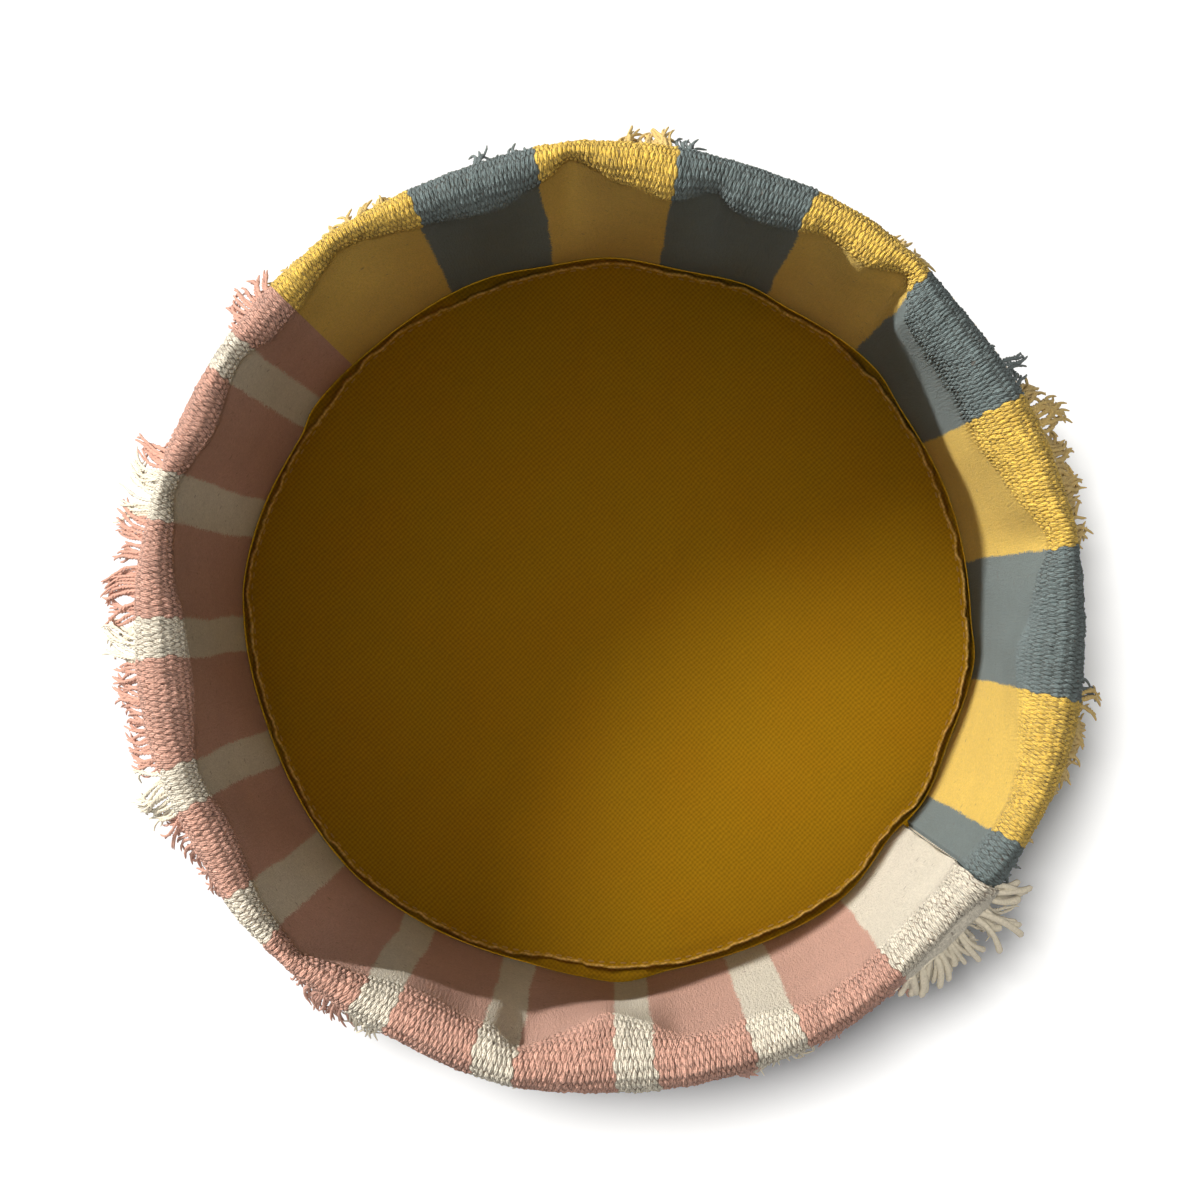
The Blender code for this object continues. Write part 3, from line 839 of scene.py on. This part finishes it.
def tubeAlong(path, radii, sides, points, faces):
    # round tube with closed ends along a list of points
    base = len(points)
    count = len(path)
    tangents = [(path[min(i + 1, count - 1)] - path[max(i - 1, 0)]).normalized() for i in range(count)]
    side = tangents[0].orthogonal().normalized()
    for spot, tangent, radius in zip(path, tangents, radii):
        side = (side - tangent * side.dot(tangent)).normalized()
        other = tangent.cross(side)
        for step in range(sides):
            turn = 2 * math.pi * step / sides
            points.append(tuple(spot + (side * math.cos(turn) + other * math.sin(turn)) * radius))
    for low in range(base, base + (count - 1) * sides, sides):
        for step in range(sides):
            after = (step + 1) % sides
            faces.append((low + step, low + after, low + sides + after, low + sides + step))
    faces.append(tuple(base + step for step in reversed(range(sides))))
    faces.append(tuple(base + (count - 1) * sides + step for step in range(sides)))


def addTail(angle, reach, lean, bend, thick, habit, points, faces, dice):
    # one cut yarn end: two plies twisted together, coming apart at the tip
    values = fringeValues
    rim = float(rimAt(angle))
    root = rim - basketShape["cuffTuck"] - basketShape["clothThickness"] / 2
    length = values["tailLength"] * dice.uniform(*values["lengths"])
    out = max(min(reach + (rim - root), length * 0.94), -0.004)
    drop = math.sqrt(max(length ** 2 - out ** 2, (0.30 * length) ** 2)) * 0.93
    curl = dice.uniform(-habit["curl"], habit["curl"])
    sunk = dice.uniform(*values["sinks"])
    phase = dice.uniform(0, 2 * math.pi)
    outward, sideways = waysAt(angle)
    spots = []
    count = values["segments"]
    for step in range(count + 1):
        part = step / count
        away = root + out * (1 - (1 - part) ** 1.25)
        down = values["rootHeight"] + sunk * part - drop * part ** 1.35
        shift = lean * part ** 1.2 + curl * math.sin(math.pi * part * 1.7 + phase) * part
        shift += 0.0016 * math.sin(math.pi * (1.6 * part + bend)) * part
        spots.append(outward * away + sideways * shift + Vector((0, 0, down)))
    start = dice.uniform(0, 2 * math.pi)
    split = dice.uniform(*values["splits"])
    spread = habit["fork"] * dice.uniform(*values["forks"])
    for ply in range(2):
        path = []
        radii = []
        for step, spot in enumerate(spots):
            part = step / count
            tangent = (spots[min(step + 1, count)] - spots[max(step - 1, 0)]).normalized()
            across = tangent.cross(Vector((0, 0, 1))).normalized()
            up = across.cross(tangent)
            loose = max(0.0, (part - split) / (1 - split))
            turn = start + math.pi * ply + 2 * math.pi * min(part, split) * length / values["twistPitch"]
            away = thick * values["twistRadius"] + spread * loose ** 1.3
            path.append(spot + (across * math.cos(turn) + up * math.sin(turn)) * away)
            radii.append(thick * values["plyRadius"] * (1.0 - 0.15 * loose))
        radii[-1] *= 0.5
        radii[-2] *= 0.92
        tubeAlong(path, radii, values["sides"], points, faces)


def addFanTail(angle, reach, lean, points, faces, dice):
    # a thick soft end with a round tip
    values = fringeValues
    rim = float(rimAt(angle))
    root = rim - basketShape["cuffTuck"] - basketShape["clothThickness"]
    outward, sideways = waysAt(angle)
    bow = dice.uniform(*values["fanBows"])
    lean = lean + reach * dice.gauss(0, 0.20)
    reach = reach * (1 - 0.40 * dice.random() ** 1.3)
    radius = dice.uniform(*values["fanRadii"])
    path = []
    radii = []
    for step in range(values["fanSegments"] + 1):
        part = step / values["fanSegments"]
        away = root + (reach + rim - root) * (1 - (1 - part) ** 1.15)
        shift = lean * part ** 1.3 + bow * math.sin(math.pi * part)
        down = values["rootHeight"] - 0.004 * part - 0.016 * part ** 1.6
        path.append(outward * away + sideways * shift + Vector((0, 0, down)))
        lump = 1 + 0.10 * math.sin(7 * part + bow * 2000)
        tip = math.sqrt(max(1 - (max(part - 0.93, 0) / 0.075) ** 2, 0.04))
        radii.append(radius * (0.80 + 0.30 * part) * lump * tip)
    tubeAlong(path, radii, values["fanSides"], points, faces)


def addSelvage(first, last, points, faces):
    # the cord at the cuff's free edge, between two angles
    shape = basketShape
    steps = max(2, int(round((first - last) / 0.6)))
    path = []
    for step in range(steps + 1):
        angle = first + (last - first) * step / steps
        flare = float(flareAt(angle))
        tuck = shape["cuffTuck"] * min(max(1 - flare / shape["tuckedFlare"], 0), 1)
        height = shape["height"] - shape["cuffDepth"] + 1.5 * flare + 0.0002 * math.sin(step * 1.9)
        path.append(waysAt(angle)[0] * (float(rimAt(angle)) - tuck - 0.0004) + Vector((0, 0, height)))
    tubeAlong(path, [fringeValues["selvage"]] * len(path), fringeValues["sides"], points, faces)


def makeFringe(node, yarn, first, last, number):
    values = fringeValues
    habit = tailHabits[yarn]
    dice = random.Random(values["seed"] + number)
    first, last = float(drifted(first)), float(drifted(last))
    arc = math.radians(first - last) * basketShape["rimRadius"]
    count = max(3, int(round(arc / habit["pitch"])))
    points = []
    faces = []
    pitch = (first - last) / count
    left = 0
    for tail in range(count):
        if left == 0:
            left = max(2, int(round(habit["bunch"] * dice.uniform(0.6, 1.4))))
            middle = first - pitch * (tail + left / 2)
            sway = dice.gauss(0, 0.5) * habit["sway"]
            share = 1 - habit["short"] * dice.random()
            bend = dice.uniform(-1, 1)
        left -= 1
        angle = first - pitch * (tail + 0.5)
        pulled = angle + (middle - angle) * values["bunched"]
        reach = mm * float(curveAt(fringeReach, angle))
        fan = yarn == "cream" and values["fanAngles"][0] < angle < values["fanAngles"][1]
        own = share * (1 - 0.20 * dice.random() ** 1.5) * (1.0 if fan else habit["long"])
        reach = reach * own if reach > 0 else reach
        between = dice.random() < values["strays"] and not fan
        tailSway = dice.gauss(0, 0.35) * habit["sway"] if between else sway
        fanLean = reach * math.tan(math.radians(float(curveAt(fanLeans, angle))))
        lean = tailSway + dice.gauss(0, 0.5) * habit["stray"] + fanLean
        addTail(pulled + dice.uniform(-0.12, 0.12), reach * (values["fanShare"] if fan else 1.0),
                lean * (0.6 if fan else 1.0), bend, habit["thick"] * dice.uniform(*values["thicknesses"]),
                habit, points, faces, dice)
        if fan:
            addFanTail(pulled, reach * (1.0 if tail % 2 == 0 else values["fanShare"]), lean, points, faces, dice)
    addSelvage(first, last, points, faces)
    standIn(meshPiece(node + "_yarn", points, faces, yarnMaterials[yarn]), "basket", node)


def makeFringes():
    checks, bands = panelSpans()
    for prefix, (start, span), stripes, seedShift in (("check", checks, checkStripes, 0),
                                                      ("stripe", bands, stripeStripes, 100)):
        for number, (yarn, first, last) in enumerate(stripeEdges(start, span, stripes), 1):
            makeFringe("{}_fringe_{:02d}".format(prefix, number), yarn, first, last, number + seedShift)
    print("fringe made")


# canvas insert and woven floor
insertValues = dict(
    baseHeight=0.0043,
    topHeight=0.0113,
    sheet=0.0012,
    flangeHeight=0.0088,
    flangeClearance=0.0009,
    weltWidth=0.0027,
    weltHeight=0.0019,
    columns=900,
    weavePitch=0.0027,
    bumpDepth=0.00016,
    topCutRadius=0.192,      # the top sheet before it is sewn: its edge's radius and what the welt takes up
    floorHeight=0.0040,
    colour=(0.345, 0.180, 0.006, 1.0),
    # painted highlight along the welt's crest
    ridgeHighlightColour=(0.700, 0.430, 0.120, 1.0),
)


def makeCanvasGroup():
    # plain weave of plump yarns, on the bias: crossings stand up as small dots
    tree, source = newGroup("canvasWeave", ("Place",), ("Pitch",), ("Height", "Tone", "Hue"))
    place = source["Place"]
    split = addNode(tree, "SeparateXYZ", {0: place}).outputs
    bend = plus(times(addNoise(place, 12.0, 2.0), 0.006), times(addNoise(place, 200.0, 1.0), 0.0018))

    def wave(way):
        return maths("COSINE", times(maths("DIVIDE", way, source["Pitch"]), 2 * math.pi))

    height = times(wave(plus(split[0], bend)), wave(minus(split[1], bend)))
    return closeGroup(tree, Height=addRange(height, -1.0, 1.0),
                      Tone=addRange(addNoise(place, 38.0, 4.0, 0.6), 0.25, 0.75, 0.97, 1.03),
                      Hue=addNoise(place, 21.0, 2.0, 0.5))


def makeCanvasMaterial(name, colour):
    material, tree, shader = newMaterial(name, 1.0, 0.03, 0.03)
    place = objectPlace(tree)
    weave = placeGroup(tree, canvasGroup, Place=place, Pitch=insertValues["weavePitch"])
    fibre = placeGroup(tree, fuzzGroup, Place=place)["Fibre"]
    # painted highlight and shade: the weave's crossings are made lighter and the hollows between them darker
    tone = times(weave["Tone"], addRange(fibre, 0.3, 0.7, 0.94, 1.06),
                 addRange(weave["Height"], 0.0, 1.0, 0.76, 1.20))
    warm = (colour[0] * 1.01, colour[1] * 0.985, colour[2] * 0.95, 1.0)
    green = (colour[0] * 0.99, colour[1] * 1.015, colour[2], 1.0)
    tint = addMix(addRange(weave["Hue"], 0.38, 0.62), warm, green)
    # painted highlight: the welt's crest is made lighter, in patches along it
    crestHighlightPatches = addRange(addNoise(place, 240.0, 3.0, 0.7), 0.35, 0.6, 0.15, 1.0)
    tint = addMix(times(storedMark(tree, "crest")["Fac"], crestHighlightPatches), tint, insertValues["ridgeHighlightColour"])
    feed(shader["Base Color"], toned(tint, tone))
    feed(shader["Normal"], addBump(plus(weave["Height"], times(fibre, 0.5)), insertValues["bumpDepth"]))
    return material


def turnedPiece(name, sections, angles, material):
    # each section is (radius array, height array) round the circle, from the axis above to the axis below
    turn = np.radians(angles)
    rings = [ringPoints(radius, turn, height) for radius, height in sections[1:-1]]
    top, bottom = ((0.0, 0.0, float(np.mean(sections[end][1]))) for end in (0, -1))
    points = [top] + np.concatenate(rings).tolist() + [bottom]
    last = len(points) - 1
    number = np.arange(1, last).reshape(len(rings), -1)
    number = np.concatenate((number, number[:, :1]), axis=1)
    faces = gridFaces(number.T)
    first, final = number[0].tolist(), number[-1].tolist()
    faces += [(0, near, far) for near, far in zip(first[:-1], first[1:])]
    faces += [(last, far, near) for near, far in zip(final[:-1], final[1:])]
    return meshPiece(name, points, faces, material)


def ridgeAt(angles):
    ridge = mm * (curveAt(ridgeRadii, angles) + 1.7)
    return np.minimum(ridge, footAt(angles) - 0.0022)


def makeTopCover():
    values = insertValues
    angles = np.arange(values["columns"]) * 360 / values["columns"]
    turn = np.radians(angles)
    wobble = smoothNoise(angles / 2.6, angles * 0, 1.0) + 0.5 * smoothNoise(angles / 1.1, angles * 0, 2.0) - 0.75
    rough = smoothNoise(angles / 0.9, angles * 0, 3.0)
    ridge = ridgeAt(angles) + 0.0013 * wobble + 0.0008 * (rough - 0.5)
    flange = footAt(angles) - values["flangeClearance"]
    top = np.full_like(angles, values["topHeight"])
    crest = values["weltHeight"] * (0.80 + 0.14 * np.sin(turn * 17 + 0.5) + 0.7 * (rough - 0.5))
    sections = [(None, top + 0.0002)]
    crestMarks = []
    for share in (0.12, 0.25, 0.38, 0.5, 0.62, 0.73, 0.82, 0.89, 0.94, 0.960):
        swell = 0.0004 * np.sin(3 * turn + 5 * share) * share + 0.0003 * np.sin(8 * turn - 7 * share)
        sections.append((ridge * share, top + swell))
        crestMarks.append(0.0)
    # the pinched welt, in widths inwards, shares of its height and how much painted highlight its crest gets
    for inward, rise, mark in ((2.0, 0.0, 0), (1.5, -0.06, 0), (1.2, -0.12, 0), (1.0, -0.06, 0), (0.86, 0.36, 0.1),
                               (0.72, 0.80, 0.8), (0.55, 1.0, 1.0), (0.38, 0.86, 0.8), (0.2, 0.40, 0.2),
                               (0.08, -0.1, 0)):
        sections.append((ridge - values["weltWidth"] * inward, top + crest * rise))
        crestMarks.append(mark)
    # the flat sewn edge outside the welt, then back along the underside
    flat = values["flangeHeight"] + 0.0005 * np.sin(turn * 29 + 0.7) + 0.0004 * np.sin(turn * 53)
    middle = (ridge + flange) / 2
    under = top - values["sheet"]
    sections += [
        (ridge + 0.0003, top - 0.0014),
        (np.minimum(ridge + 0.0006, middle), flat + 0.0008),
        (middle, flat),
        (flange - 0.0004, flat - 0.0002),
        (flange, flat - 0.0006),
        (flange - 0.0003, flat - values["sheet"] + 0.0001),
        (ridge - 0.0022, np.full_like(angles, values["baseHeight"] + 0.0015)),
        (ridge - 0.0022, under),
        (ridge * 0.6, under),
        (None, under),
    ]
    piece = turnedPiece("insertTopCanvas", sections, angles, canvasMaterial)
    marks = np.zeros(len(piece.data.vertices))
    marks[1:1 + len(crestMarks) * len(angles)] = np.repeat(crestMarks, len(angles))
    storeMarks(piece, "crest", marks)
    standIn(piece, "base_insert", "insert_top_cover")
    print("insert top made")
    return piece


def makePlainDisc(name, node, body, edge, low, high, material):
    angles = np.arange(360.0)
    edge = edge(angles)
    bottom, top = np.full_like(angles, low), np.full_like(angles, high)
    shares = (0.3, 0.6, 0.85, 0.96)
    ripples = [high + 0.00012 * np.sin(9 * np.radians(angles) + 20 * share) for share in shares]
    sections = [(None, top)] + [(edge * share, ripple) for share, ripple in zip(shares, ripples)]
    sections += [(edge - 0.0004, top), (edge, (bottom + top) / 2), (edge - 0.0004, bottom)]
    sections += [(edge * share, bottom) for share in reversed(shares)] + [(None, bottom)]
    piece = standIn(turnedPiece(name, sections, angles, material), body, node)


def makeInsertAndFloor():
    values = insertValues
    lightInsert(makeTopCover())
    makePlainDisc("insertBottomCanvas", "insert_bottom_cover", "base_insert",
                  lambda angles: footAt(angles) - values["flangeClearance"],
                  values["baseHeight"], values["baseHeight"] + values["sheet"], canvasMaterial)
    makePlainDisc("floorCloth", "floor_panel", "basket",
                  lambda angles: footAt(angles) + basketShape["clothThickness"] + 0.001,
                  0.0, values["floorHeight"], makeCanvasMaterial("floorCanvas", values["colour"]))
    print("insert and floor made")


# sewing thread
threadValues = dict(
    radius=0.00045,
    sides=6,
    segments=6,
    stitchPitch=0.0070,
    seamHeights=(0.018, 0.245),
    seamReach=0.75,          # degrees that a stitch goes to each side of its seam
    floorStitches=150,
    floorSpan=0.9,
    floorHeights=(0.0065, 0.0128),
    cuffStitches=170,
    cuffSpan=1.15,
    cuffHeight=0.2565,
    insertStitches=200,
    insertSpan=1.116,
    colour=(0.74, 0.66, 0.52, 1.0),
    mustardColour=(0.40, 0.215, 0.030, 1.0),
)


def makeThreadMaterial(name, colour):
    material, tree, shader = newMaterial(name, 0.8, 0.2)
    place = objectPlace(tree)
    fibre = addNoise(place, 1400.0, 3.0, 0.6)
    tone = times(addRange(fibre, 0.3, 0.7, 0.86, 1.10), addRange(addNoise(place, 60.0), 0.3, 0.7, 0.92, 1.05))
    feed(shader["Base Color"], toned(colour, tone))
    feed(shader["Normal"], addBump(fibre, 0.0003))
    return material


def stitchPiece(name, node, body, stitches, material):
    # every stitch is a short arched tube between two points, sunk at its ends
    values = threadValues
    points = []
    faces = []
    for start, end, outward in stitches:
        path = []
        radii = []
        for step in range(values["segments"] + 1):
            part = step / values["segments"]
            lift = math.sin(math.pi * part) ** 0.7 * values["radius"] * 2.0 - values["radius"] * 0.9
            path.append(start.lerp(end, part) + outward * lift)
            radii.append(values["radius"] * (0.8 + 0.2 * math.sin(math.pi * part)))
        tubeAlong(path, radii, values["sides"], points, faces)
    return standIn(meshPiece(name, points, faces, material), body, node)


def outerWallPoint(angle, height):
    # point on the outer face of the wall below the cuff
    radii, heights = wallSection(np.array([angle]))
    wall = slice(basketShape["cuffPoints"] + basketShape["rollPoints"], None)
    inner = float(np.interp(height, heights[0][wall][::-1], radii[0][wall][::-1]))
    return waysAt(angle)[0] * (inner + basketShape["clothThickness"]) + Vector((0, 0, height))


def wallStitch(fromAngle, toAngle, fromHeight, toHeight):
    return outerWallPoint(fromAngle, fromHeight), outerWallPoint(toAngle, toHeight), waysAt(toAngle)[0]


def levelStitch(angle, span, height, radiusAt, outward=None):
    ends = [waysAt(turn)[0] * float(radiusAt(turn)) + Vector((0, 0, height)) for turn in (angle, angle + span)]
    return ends[0], ends[1], outward or waysAt(angle + span)[0]


def evenAngles(count):
    return [360 * step / count for step in range(count)]


def makeThreads():
    shape = basketShape
    values = threadValues
    thread = makeThreadMaterial("creamThread", values["colour"])
    mustard = makeThreadMaterial("mustardThread", values["mustardColour"])
    reach = values["seamReach"]
    for name, node, seam in (("leftSeamStitches", "left_seam_thread", shape["firstSeam"]),
                             ("rightSeamStitches", "right_seam_thread", shape["secondSeam"])):
        stitches = [wallStitch(seam + reach, seam - reach, height, height + values["stitchPitch"] * 0.45)
                    for height in np.arange(*values["seamHeights"], values["stitchPitch"])]
        stitchPiece(name, node, "basket", stitches, thread)
    stitches = [wallStitch(angle, angle + values["floorSpan"], *values["floorHeights"])
                for angle in evenAngles(values["floorStitches"])]
    stitchPiece("floorSeamStitches", "floor_seam_thread", "basket", stitches, thread)
    proud = weaveValues["relief"] * 0.85 - shape["cuffTuck"] * 0.6
    stitches = [levelStitch(angle, values["cuffSpan"], values["cuffHeight"], lambda turn: rimAt(turn) + proud)
                for angle in evenAngles(values["cuffStitches"])]
    stitchPiece("cuffStitches", "cuff_thread", "basket", stitches, thread)
    inward = insertValues["weltWidth"] * 1.15
    stitches = [levelStitch(angle, values["insertSpan"], insertValues["topHeight"] - 0.0004,
                            lambda turn: ridgeAt(turn) - inward, Vector((0, 0, 1)))
                for angle in evenAngles(values["insertStitches"])]
    lightInsert(stitchPiece("insertStitches", "insert_thread", "base_insert", stitches, mustard))
    print("threads made")


def dressBoard():
    material, tree, shader = newMaterial("greyBoard", 0.9, 0.0)
    fleck = addNoise(objectPlace(tree), 420.0, 4.0, 0.7)
    feed(shader["Base Color"], addMix(addRange(fleck, 0.35, 0.7), (0.50, 0.40, 0.28, 1.0), (0.36, 0.28, 0.19, 1.0)))
    feed(shader["Normal"], addBump(fleck, 0.0003))
    for slot in frame["nodes"]["insert_board"].material_slots:
        slot.material = material


makeCamera()
makeLight(makeFloor())
print("camera and light made")
floatGroup = makeFloatGroup()
fuzzGroup = makeFuzzGroup()
canvasGroup = makeCanvasGroup()
canvasMaterial = makeCanvasMaterial("mustardCanvas", insertValues["colour"])
yarnMaterials = {yarn: makeYarnMaterial(yarn) for yarn in yarnColours}
makeWall()
makeFringes()
makeInsertAndFloor()
makeThreads()
dressBoard()
